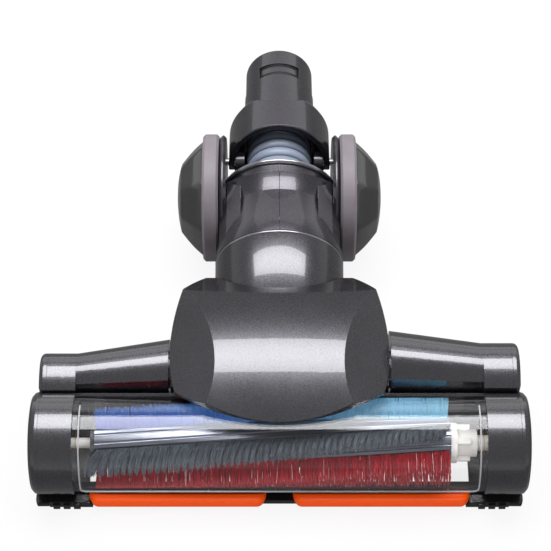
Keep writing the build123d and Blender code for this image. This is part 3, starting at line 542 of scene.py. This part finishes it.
# %% Corner feet
FOOT_LOW = np.array([102.8, -53.1, 0.15])
FOOT_HIGH = np.array([109.8, -45.6, 3.1])
FOOT_END, FOOT_SECTION = 1.2, 0.25
for side, flip in (("left", -1), ("right", 1)):
    ends = np.stack([FOOT_LOW, FOOT_HIGH]) * np.array([flip, 1, 1])
    surface = soap_bar(ends.min(axis=0), ends.max(axis=0), FOOT_END, FOOT_SECTION, along=61, around=48)
    faces = grid_faces(*surface.shape[:2], wrap_columns=True)
    foot = new_piece(f"corner_foot_{side}", surface, faces, merge=True)
    foot.data.materials.append(black_moulding)
    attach(foot, "head")
    print(foot.name, len(foot.data.polygons), "faces")

# %% [markdown]
# ## Window rim, a painted highlight
# Light gathers in the thick moulded edge of the clear window and draws a pale line round it. The line is
# painted: a thin, nearly white bead lies on the window, down one end, along the front edge and up the other
# end.

# %% Rim bead, a painted highlight
RIM_X, RIM_R, RIM_BEAD, RIM_CORNER = 88.0, 22.15, 0.38, 3.0
RIM_TOP, RIM_FRONT = -20.0, 103.5


def rim_line(straight=60, curved=12):
    """Station and arc length of a U: up the ends and along the front, with round corners."""
    top, front = (math.radians(a) * RIM_R for a in (RIM_TOP, RIM_FRONT))
    turn = np.linspace(0, np.pi / 2, curved)
    down = np.linspace(top, front - RIM_CORNER, straight)
    x = np.concatenate([np.full(straight, -RIM_X), -RIM_X + RIM_CORNER * (1 - np.cos(turn))])
    s = np.concatenate([down, front - RIM_CORNER + RIM_CORNER * np.sin(turn)])
    return np.concatenate([x, -x[::-1]]), np.concatenate([s, s[::-1]])


def rim_surface(around=10):
    """A round bead about the rim's line, which lies on the window's cylinder (Y - R sin a, Z + R cos a).

    The first and the last ring are drawn together to a point, which closes the bead."""
    x, s = rim_line()
    angle = s / RIM_R
    centre = np.stack([x, BRUSH_Y - RIM_R * np.sin(angle), BRUSH_Z + RIM_R * np.cos(angle)], axis=-1)
    out = np.stack([np.zeros_like(x), -np.sin(angle), np.cos(angle)], axis=-1)
    along = np.gradient(centre, axis=0)
    side = np.cross(along, out)
    side /= np.linalg.norm(side, axis=1, keepdims=True)
    u = np.linspace(0, 2 * np.pi, around, endpoint=False)[None, :, None]
    tube = centre[:, None] + RIM_BEAD * (np.cos(u) * out[:, None] + np.sin(u) * side[:, None])
    caps = np.broadcast_to(tube[[0, -1]].mean(axis=1, keepdims=True), (2, *tube.shape[1:]))
    return np.concatenate([caps[:1], tube, caps[1:]])


surface = rim_surface()
rim = new_piece("window_rim", surface, grid_faces(*surface.shape[:2], wrap_columns=True), merge=True)
# painted highlight: a nearly white, half-clear finish stands in for the light gathered in the window's edge
rim_plastic, ink = start_finish("rim_plastic")
skin = noise(ink, 1.2, detail=3.0)
end_finish(ink, Base_Color=mix(ink, skin, rgb(226, 228, 232), rgb(190, 192, 198)),
           Roughness=skin * 0.1 + 0.12, Alpha=skin * 0.2 + 0.5)
rim.data.materials.append(rim_plastic)
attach(rim, "head")
print(rim.name, len(rim.data.polygons), "faces")

# %% [markdown]
# ## Where a row of the brush runs
# The brush carries six rows that wind round its core: stiff red and blue nylon, and soft grey plush. Each
# starts at its own angle and turns evenly from one end of the core to the other.

# %% Rows
CORE_FROM, CORE_TO = -82.0, 76.0
TIP_R = 20.3
ROW_LEAD, ROW_PITCH, TWIST = 290.0, -60.0, -58.0


def on_brush(x, radius, angle):
    """Point of the brush at station x: (x, Y + radius sin(angle), Z - radius cos(angle)), in degrees."""
    turn = np.radians(angle)
    return np.stack([x, BRUSH_Y + radius * np.sin(turn), BRUSH_Z - radius * np.cos(turn)], axis=-1)


def share_along(x):
    """0 at the left end of the core and 1 at the right end."""
    return (x - CORE_FROM) / (CORE_TO - CORE_FROM)


def row_angle(row, x):
    """Angle of a row at station x: it winds evenly by the twist from end to end."""
    return ROW_LEAD + ROW_PITCH * row + TWIST * share_along(x)


print("row 0 turns from", row_angle(0, CORE_FROM), "to", row_angle(0, CORE_TO), "degrees")

# %% [markdown]
# ## Filaments
# Hair particles would make bristles, but they do not travel to other programs. So every filament is a thin
# three-sided tube, and a whole row is one mesh. Two attributes are kept on its points for the finish: `tint`
# is a random number of each filament, and `reach` goes from 0 at the root to 1 at the tip.

# %% Filament maker
RINGS, SIDES = 4, 3
ASIDE = np.array([1.0, 0.2, 0.1])


def filaments(name, roots, middles, tips, radius, taper, tint):
    """Tubes of radius * (1 - taper t) along the parabola through root, middle and tip, for t from 0 to 1."""
    t = np.linspace(0.0, 1.0, RINGS)[None, :, None]
    control = 2.0 * middles - 0.5 * (roots + tips)
    line = (1 - t) ** 2 * roots[:, None] + 2 * t * (1 - t) * control[:, None] + t ** 2 * tips[:, None]
    along = tips - roots
    along /= np.linalg.norm(along, axis=1, keepdims=True)
    side = np.cross(along, ASIDE)
    side /= np.linalg.norm(side, axis=1, keepdims=True)
    other = np.cross(along, side)
    corner = np.radians(np.arange(SIDES) * 360.0 / SIDES)[None, :, None]
    ring = np.cos(corner) * side[:, None] + np.sin(corner) * other[:, None]
    width = radius * (1.0 - taper * t)
    points = line[:, :, None] + width[:, :, None] * ring[:, None]
    count = len(roots)
    one = grid_faces(RINGS, SIDES, wrap_columns=True)
    faces = (one[None] + (np.arange(count) * RINGS * SIDES)[:, None, None]).reshape(-1, 4)
    piece = new_piece(name, points, faces)
    shade = piece.data.attributes.new("tint", "FLOAT", "POINT")
    shade.data.foreach_set("value", np.repeat(tint, RINGS * SIDES).astype(np.float32))
    reach = piece.data.attributes.new("reach", "FLOAT", "POINT")
    reach.data.foreach_set("value", np.tile(np.repeat(t.ravel(), SIDES), count).astype(np.float32))
    return piece


print("a filament has", RINGS * SIDES, "points")

# %% [markdown]
# ## Nylon bristles
# A nylon row is thousands of filaments set in tufts, with their roots in the slot of the core. The tips fan
# out round each tuft. A used brush also has rows that lie over, so each row is swept round by an angle that
# changes along it, and every filament takes a random share of that sweep.

# %% Nylon rows
TUFT_PITCH, TUFT_FILAMENTS = 2.0, 46
TUFT_FIRST, TUFT_LAST = CORE_FROM + 2.0, CORE_TO - 1.6
TUFT_STRAY, TUFT_HALF = 0.25, 1.05
ROOT_R, ROOT_LEAN = 10.2, 6.0
FAN_X, FAN_X_STRAY = 0.55, 0.32
FAN_TURN, FAN_TURN_STRAY = 0.35, 2.2
TIP_STRAY, BOW = 0.35, 0.18
NYLON_R, NYLON_TAPER = 0.15, 0.25
SWEEP_MOST = 1.25
SWEEP = {"red_1": (4.0, 38.0, 0.3), "red_2": (-46.0, -20.0, 0.8), "blue_1": (-8.0, 4.0, 0.3),
         "blue_2": (44.0, 52.0, 0.85)}


def nylon_row(name, row, seed, swept):
    """Tufts along the row's helix; tips fan out round each tuft and sweep over.

    The sweep goes from swept[0] to swept[1] degrees along the row, and swept[2] is its least share."""
    draw = np.random.default_rng(seed)
    tufts = np.arange(TUFT_FIRST, TUFT_LAST, TUFT_PITCH)
    tufts = tufts + draw.normal(0, TUFT_STRAY, len(tufts))
    x = np.repeat(tufts, TUFT_FILAMENTS)
    count = len(x)
    root_x = x + draw.uniform(-TUFT_HALF, TUFT_HALF, count)
    root_lean = draw.uniform(-ROOT_LEAN, ROOT_LEAN, count)
    fan_x = (root_x - x) * FAN_X + draw.normal(0, FAN_X_STRAY, count)
    sweep = swept[0] + (swept[1] - swept[0]) * share_along(root_x)
    sweep = sweep * draw.uniform(swept[2], SWEEP_MOST, count)
    fan = root_lean * FAN_TURN + draw.normal(0, FAN_TURN_STRAY, count) + sweep
    length = TIP_R - np.abs(draw.normal(0, TIP_STRAY, count))
    roots = on_brush(root_x, ROOT_R, row_angle(row, root_x) + root_lean)
    tips = on_brush(root_x + fan_x, length, row_angle(row, root_x) + fan)
    middles = (roots + tips) / 2 + draw.normal(0, BOW, (count, 3))
    return filaments(name, roots, middles, tips, NYLON_R, NYLON_TAPER, draw.uniform(0, 1, count))


def bristle_finish(name, deep, bright, pale, glint_share=0.0, far=None, tips=0.25):
    """Each filament has its own shade, tips are paler than roots, and a share of filaments is pale all along:
    these are a painted highlight, filaments shown as if they caught the light.

    With a far colour, the bright shade drifts to it from the left end of the brush to the right, and the
    deep shade drifts by a share of that. This is painted light: the rows are darker at the left, in the
    hood's shade, and paler at the right, where more light reaches them."""
    tip_from, tip_to, deep_share = 0.55, 1.15, 0.8
    material, ink = start_finish(name)
    tint = ink.add("ShaderNodeAttribute", {"attribute_name": "tint"}, out="Fac")
    reach = ink.add("ShaderNodeAttribute", {"attribute_name": "reach"}, out="Fac")
    # painted light: from left to right the colour drifts to the far colour, darker at the left end in the
    # hood's shade and paler at the right where more light reaches the rows
    if far:
        across = ink.add("ShaderNodeSeparateXYZ", {}, {"Vector": place(ink)}).step(CORE_FROM, CORE_TO)
        bright = mix(ink, across, bright, far)
        deep = mix(ink, across, deep, mix(ink, deep_share, deep, far))
    body = mix(ink, tint, deep, bright)
    tip = reach.step(tip_from, tip_to) * (tint * 2.0 + 1.0) * tips
    # painted highlight: a share of filaments is pale all along, as if glinting in the light
    painted_glint = tint.step(1.0 - glint_share, 1.0 - glint_share * 0.8) if glint_share else 0.0
    end_finish(ink, Base_Color=mix(ink, tip + painted_glint, body, pale), Roughness=tint * 0.15 + 0.4,
               Specular_IOR_Level=0.2)
    return material


# painted highlight: a few red filaments are painted pale pink all along
red_nylon = bristle_finish("red_nylon", rgb(150, 2, 20), rgb(206, 6, 40), rgb(246, 200, 204), glint_share=0.03,
                           tips=0.06)
# painted light: the far colour is the pale sky-blue of the rows' lit right end
blue_nylon = bristle_finish("blue_nylon", rgb(14, 62, 196), rgb(26, 84, 216), rgb(150, 214, 250),
                            far=rgb(160, 232, 255))
NYLON_SEED = 40
for row, colour, half in ((0, "red", 1), (3, "red", 2), (2, "blue", 1), (5, "blue", 2)):
    bristles = nylon_row(f"{colour}_nylon_row_{half}", row, NYLON_SEED + row, SWEEP[f"{colour}_{half}"])
    bristles.data.materials.append(red_nylon if colour == "red" else blue_nylon)
    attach(bristles, "brush")
    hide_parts(f"{colour}_bristles_{half}")
    print(bristles.name, len(bristles.data.polygons), "faces")

# %% [markdown]
# ## Grey plush
# The plush rows are thick carbon-fibre pile that lies over to one side and gathers in slanting ribs. The same
# filament maker is used, but the tips of neighbours are drawn together in ribs, and the pile is shorter. At
# the left end the pile is loose and splays out past the core.

# %% Plush rows
PLUSH_COUNT, PLUSH_SEED = 6200, 70
PLUSH_LEAN, LEAN_SHARE = (44.0, 26.0), (0.7, 1.1)
PLUSH_ROOT_R, PLUSH_R, PLUSH_STRAY = 10.4, 16.4, 0.3
PLUSH_INSET, PLUSH_SPREAD = 1.2, 2.5
LONG_SHARE, SHORTEST = 0.7, 0.55
RIB_PITCH, RIB_PULL, RIB_SLANT, RIB_STRAY = 3.0, 0.6, 3.2, 0.35
END_SPLAY, SPLAY_LENGTH = 4.5, 9.0
BULGE, BULGE_LEAN = 0.5, 0.35
HAIR_R, HAIR_TAPER = 0.17, 0.4


def plush_row(name, row, seed):
    """Pile from the slot, laid over by PLUSH_LEAN; tips gather towards the nearest slanting rib."""
    draw = np.random.default_rng(seed)
    count = PLUSH_COUNT
    root_x = draw.uniform(CORE_FROM + PLUSH_INSET, CORE_TO - PLUSH_INSET, count)
    lean = PLUSH_LEAN[0] + (PLUSH_LEAN[1] - PLUSH_LEAN[0]) * share_along(root_x)
    lean = lean * draw.uniform(*LEAN_SHARE, count)
    long = draw.uniform(0, 1, count) < LONG_SHARE
    reach = np.where(long, 1.0, draw.uniform(SHORTEST, 1.0, count))
    radius = PLUSH_ROOT_R + (PLUSH_R - PLUSH_ROOT_R) * reach - np.abs(draw.normal(0, PLUSH_STRAY, count))
    rib = np.round(root_x / RIB_PITCH) * RIB_PITCH
    tip_x = root_x + (rib - root_x) * RIB_PULL - RIB_SLANT * reach + draw.normal(0, RIB_STRAY, count)
    loose = np.clip(1.0 - (root_x - CORE_FROM) / SPLAY_LENGTH, 0.0, 1.0)
    tip_x = np.clip(tip_x - END_SPLAY * loose, CORE_FROM - END_SPLAY, CORE_TO)
    angle = row_angle(row, root_x)
    roots = on_brush(root_x, PLUSH_ROOT_R, angle + draw.uniform(-ROOT_LEAN, ROOT_LEAN, count))
    spread = draw.normal(0, PLUSH_SPREAD, count)
    tips = on_brush(tip_x, radius, angle + lean + spread)
    middles = on_brush((root_x + tip_x) / 2, (PLUSH_ROOT_R + radius) / 2 + BULGE,
                       angle + lean * BULGE_LEAN + spread)
    return filaments(name, roots, middles, tips, HAIR_R, HAIR_TAPER, draw.uniform(0, 1, count))


grey_plush = bristle_finish("grey_plush", rgb(40, 46, 53), rgb(92, 101, 111), rgb(140, 148, 157))
for half, row in ((1, 1), (2, 4)):
    plush = plush_row(f"grey_plush_row_{half}", row, PLUSH_SEED + row)
    plush.data.materials.append(grey_plush)
    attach(plush, "brush")
    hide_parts(f"grey_bristles_{half}")
    print(plush.name, len(plush.data.polygons), "faces")

# %% [markdown]
# ## The ribbed hose
# A short bellows joins the neck to the wand. It is a ring carried along an arc whose radius swells at each
# rib. The arc bends by the angle at which the wand hangs at rest, with its end just above the floor.

# %% Hose
HINGE_Y = 111.5
HINGE = np.array([0.0, HINGE_Y, AXIS_Z])
WAND_REACH, WAND_R, WAND_LIFT = 73.0, 17.0, 0.3
DROOP = math.asin((AXIS_Z - WAND_LIFT) / math.hypot(WAND_REACH, WAND_R)) - math.atan2(WAND_R, WAND_REACH)
HOSE_REACH, HOSE_RIBS, HOSE_FULL = 17.15, 7, 0.7
HOSE_LOW, HOSE_HIGH, HOSE_WALL = 13.9, 15.6, 1.0
HOSE_ALONG = 170
stations = np.linspace(-HOSE_REACH, HOSE_REACH, HOSE_ALONG)


def hose_wave(s):
    """0 in a fold and 1 on a crest at arc length s: |cos| of the rib phase, made fuller by a power."""
    return np.abs(np.cos(np.pi * s / (2 * HOSE_REACH) * HOSE_RIBS)) ** HOSE_FULL


def hose_surface(around=96):
    """Outside then inside of a bellows: radius low + (high - low) wave, carried along a circular arc."""
    outer = HOSE_LOW + (HOSE_HIGH - HOSE_LOW) * hose_wave(stations)
    radius = np.concatenate([outer, (outer - HOSE_WALL)[::-1]])[:, None]
    s = np.concatenate([stations, stations[::-1]])[:, None]
    bend_r = HOSE_REACH / (DROOP / 2)
    turn = (s + HOSE_REACH) / (2 * HOSE_REACH) * DROOP
    centre_y = bend_r * np.sin(turn) - bend_r * math.tan(DROOP / 2)
    centre_z = -bend_r * (1 - np.cos(turn))
    phi = np.linspace(0, 2 * np.pi, around, endpoint=False)[None]
    up = radius * np.sin(phi)
    y = centre_y + up * np.sin(turn)
    z = centre_z + up * np.cos(turn)
    return np.stack([radius * np.cos(phi), y, z], axis=-1) + HINGE


def hose_finish(name):
    """Grey-blue soft plastic with painted shade: the folds are coloured darker than the crests."""
    skin_size, cloud_size, depth = 0.8, 7.0, 0.008
    material, ink = start_finish(name)
    skin = noise(ink, skin_size, detail=3.0)
    cloud = noise(ink, cloud_size)
    crest = ink.add("ShaderNodeAttribute", {"attribute_name": "crest"}, out="Fac")
    shade = mix(ink, cloud * 0.5 + skin * 0.2, rgb(124, 134, 155), rgb(166, 175, 189))
    # painted shade: the folds between the ribs are coloured a deep grey-blue, where shade falls
    colour = mix(ink, crest.step(0.05, 0.75), rgb(70, 80, 106), shade)
    end_finish(ink, Base_Color=colour, Roughness=skin * 0.15 + 0.32, Normal=bump(ink, skin, depth))
    return material


surface = hose_surface()
hose = new_piece("ribbed_hose", surface, grid_faces(*surface.shape[:2], True, True))
hose.data.materials.append(hose_finish("hose_plastic"))
crest = np.concatenate([hose_wave(stations), hose_wave(stations)[::-1]])
layer = hose.data.attributes.new("crest", "FLOAT", "POINT")
layer.data.foreach_set("value", np.repeat(crest, surface.shape[1]).astype(np.float32))
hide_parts("flex_hose")
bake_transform(hose)
print(hose.name, len(hose.data.polygons), "faces")

# %% [markdown]
# ## The floor
# The photograph has a white ground. The floor is pale and keeps a faint shadow; rays from the camera, and
# those that a clear wall sends on, see it as nearly white. Rays from a mirror see it dimmer, because the
# lower sides of the dark shells would otherwise shine as bright as the floor.

# %% Floor
MIRROR_DIM = 0.8
FLOOR_WHITE, FLOOR_GREY = 0.9, 0.86
FLOOR_HALF, FLOOR_Z, FLOOR_POINTS = 3000.0, -0.05, 9


def white_ground(ink, shader, share):
    """Mixes white into a shader for rays of the camera and of clear walls, and a dimmer white for mirrors."""
    camera, mirrored, through = (ink.add("ShaderNodeLightPath", out=f"Is {kind} Ray")
                                 for kind in ("Camera", "Glossy", "Transmission"))
    seen = camera + mirrored + through
    strength = 1.0 - mirrored * MIRROR_DIM
    white = ink.add("ShaderNodeEmission", {}, {"Color": (1, 1, 1, 1), "Strength": strength})
    share = share + mirrored * (1.0 - share)
    return ink.add("ShaderNodeMixShader", {}, {0: seen.step(0.0, 1.0) * share, 1: shader, 2: white})


corner = np.linspace(-FLOOR_HALF, FLOOR_HALF, FLOOR_POINTS)
floor_x, floor_y = np.meshgrid(corner, corner, indexing="ij")
floor_points = np.stack([floor_x, floor_y, np.full_like(floor_x, FLOOR_Z)], axis=-1)
floor = new_piece("pale_floor", floor_points, grid_faces(FLOOR_POINTS, FLOOR_POINTS))
floor_paint, ink = start_finish("pale_floor_paint")
pale = ink.add("ShaderNodeBsdfDiffuse", {}, {"Color": (FLOOR_GREY, FLOOR_GREY, FLOOR_GREY, 1.0)})
ink.add("ShaderNodeOutputMaterial", {}, {"Surface": white_ground(ink, pale, FLOOR_WHITE)})
floor.data.materials.append(floor_paint)
floor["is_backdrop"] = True
print("floor:", 2 * FLOOR_HALF, "mm wide")

# %% [markdown]
# ## The room
# Glossy shells mirror the room as well as the lamps. This one is grey in front, white behind like a backdrop,
# and darker overhead. The camera itself sees plain white.

# %% World
ROOM_FRONT, ROOM_BEHIND, ROOM_TOP = (0.5, 0.5, 0.51, 1.0), (1.0, 1.0, 1.0, 1.0), (0.3, 0.3, 0.31, 1.0)
BEHIND_FADE, TOP_FADE = (0.3, 0.8), (0.05, 0.5)
world = bpy.data.worlds.new("studio")
bpy.context.scene.world = world
world.use_nodes = True
world.node_tree.nodes.clear()
ink = Wire(world.node_tree)
heading = ink.add("ShaderNodeTexCoord", out="Generated")
height = ink.add("ShaderNodeSeparateXYZ", {}, {"Vector": heading}, out="Z")
behind = ink.add("ShaderNodeSeparateXYZ", {}, {"Vector": heading}, out="Y")
horizon = mix(ink, behind.step(*BEHIND_FADE), ROOM_FRONT, ROOM_BEHIND)
glow = mix(ink, height.step(*TOP_FADE), horizon, ROOM_TOP)
room = ink.add("ShaderNodeBackground", {}, {"Color": glow, "Strength": 1.0})
white = ink.add("ShaderNodeBackground", {}, {"Color": (1, 1, 1, 1), "Strength": 1.0})
seen = ink.add("ShaderNodeLightPath", out="Is Camera Ray")
view = ink.add("ShaderNodeMixShader", {}, {0: seen, 1: room, 2: white})
ink.add("ShaderNodeOutputWorld", {}, {"Surface": view})
print("world:", world.name)

# %% [markdown]
# ## The lamps
# Four soft boxes make the bright bands. One place of a lamp can't put the band right on every curve, so each
# box lights only the pieces it is given: Blender calls this light linking. The front one lights hood and
# elbow, the back and the rear one light the rest, and the low one adds light on brush and bumper bars.

# %% Lamps
LOW_WORDS = ("nylon", "plush", "bumper")


def soft_box(name, size, location, tilt, radiance, lit):
    """A rectangular lamp with an even glow; radiance is the brightness of its face and lit are its pieces."""
    lamp = bpy.data.lights.new(name, "AREA")
    lamp.shape = "RECTANGLE"
    lamp.size, lamp.size_y = (edge * MM for edge in size)
    lamp.energy = radiance * math.pi * lamp.size * lamp.size_y
    holder = bpy.data.objects.new(name, lamp)
    holder.location = [c * MM for c in location]
    holder.rotation_euler = (math.radians(tilt), 0.0, 0.0)
    bpy.context.scene.collection.objects.link(holder)
    group = bpy.data.collections.new(f"{name}_lights")
    for piece in lit:
        group.objects.link(piece)
    holder.light_linking.receiver_collection = group


domed = [nodes["hood"], nodes["elbow"]]
others = [piece for piece in bpy.context.scene.objects if piece.type == "MESH" and piece not in domed]
low_front = [piece for piece in others if any(word in piece.name for word in LOW_WORDS)]
low_front += [nodes["brush_drive_dog"], nodes["brush_journal"]]
SOFT_BOXES = (
    ("soft_box_front", (2000, 360), (0, -145, 1000), 0.0, 7.0, domed),
    ("soft_box_back", (1100, 615), (0, 334, 960), -19.5, 6.6, others),
    ("soft_box_rear", (1400, 400), (0, 1100, 620), -60.6, 0.7, others),
    ("soft_box_low", (1200, 500), (0, -800, 560), 56.0, 3.1, low_front),
)
for row in SOFT_BOXES:
    soft_box(*row)
print("lamps light", len(domed), len(others), "and", len(low_front), "pieces")

# %% [markdown]
# ## The camera
# The picture was taken from the front and well above, with a long lens. The place and the tilt were fitted
# to the photograph, so that the outlines fall on one another.

# %% Camera
CAMERA_AT = (-1.79, -437.5, 783.6)
CAMERA_TILT = 33.0
LENS, SENSOR = 125.5, 36.0
camera_data = bpy.data.cameras.new("photo_camera")
camera_data.lens = LENS
camera_data.sensor_width = SENSOR
camera = bpy.data.objects.new("photo_camera", camera_data)
camera.location = [c * MM for c in CAMERA_AT]
camera.rotation_euler = (math.radians(CAMERA_TILT), 0.0, 0.0)
bpy.context.scene.collection.objects.link(camera)
bpy.context.scene.camera = camera
bpy.context.scene.view_settings.view_transform = "Standard"
print("camera lens:", LENS, "mm")

# %% [markdown]
# ## The size of it all
# The box of the dressed head, with the floor left out, is printed in millimetres.

# %% Sizes
low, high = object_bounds()
print("visual box in mm:", [round((b - a) / MM, 1) for a, b in zip(low, high)])
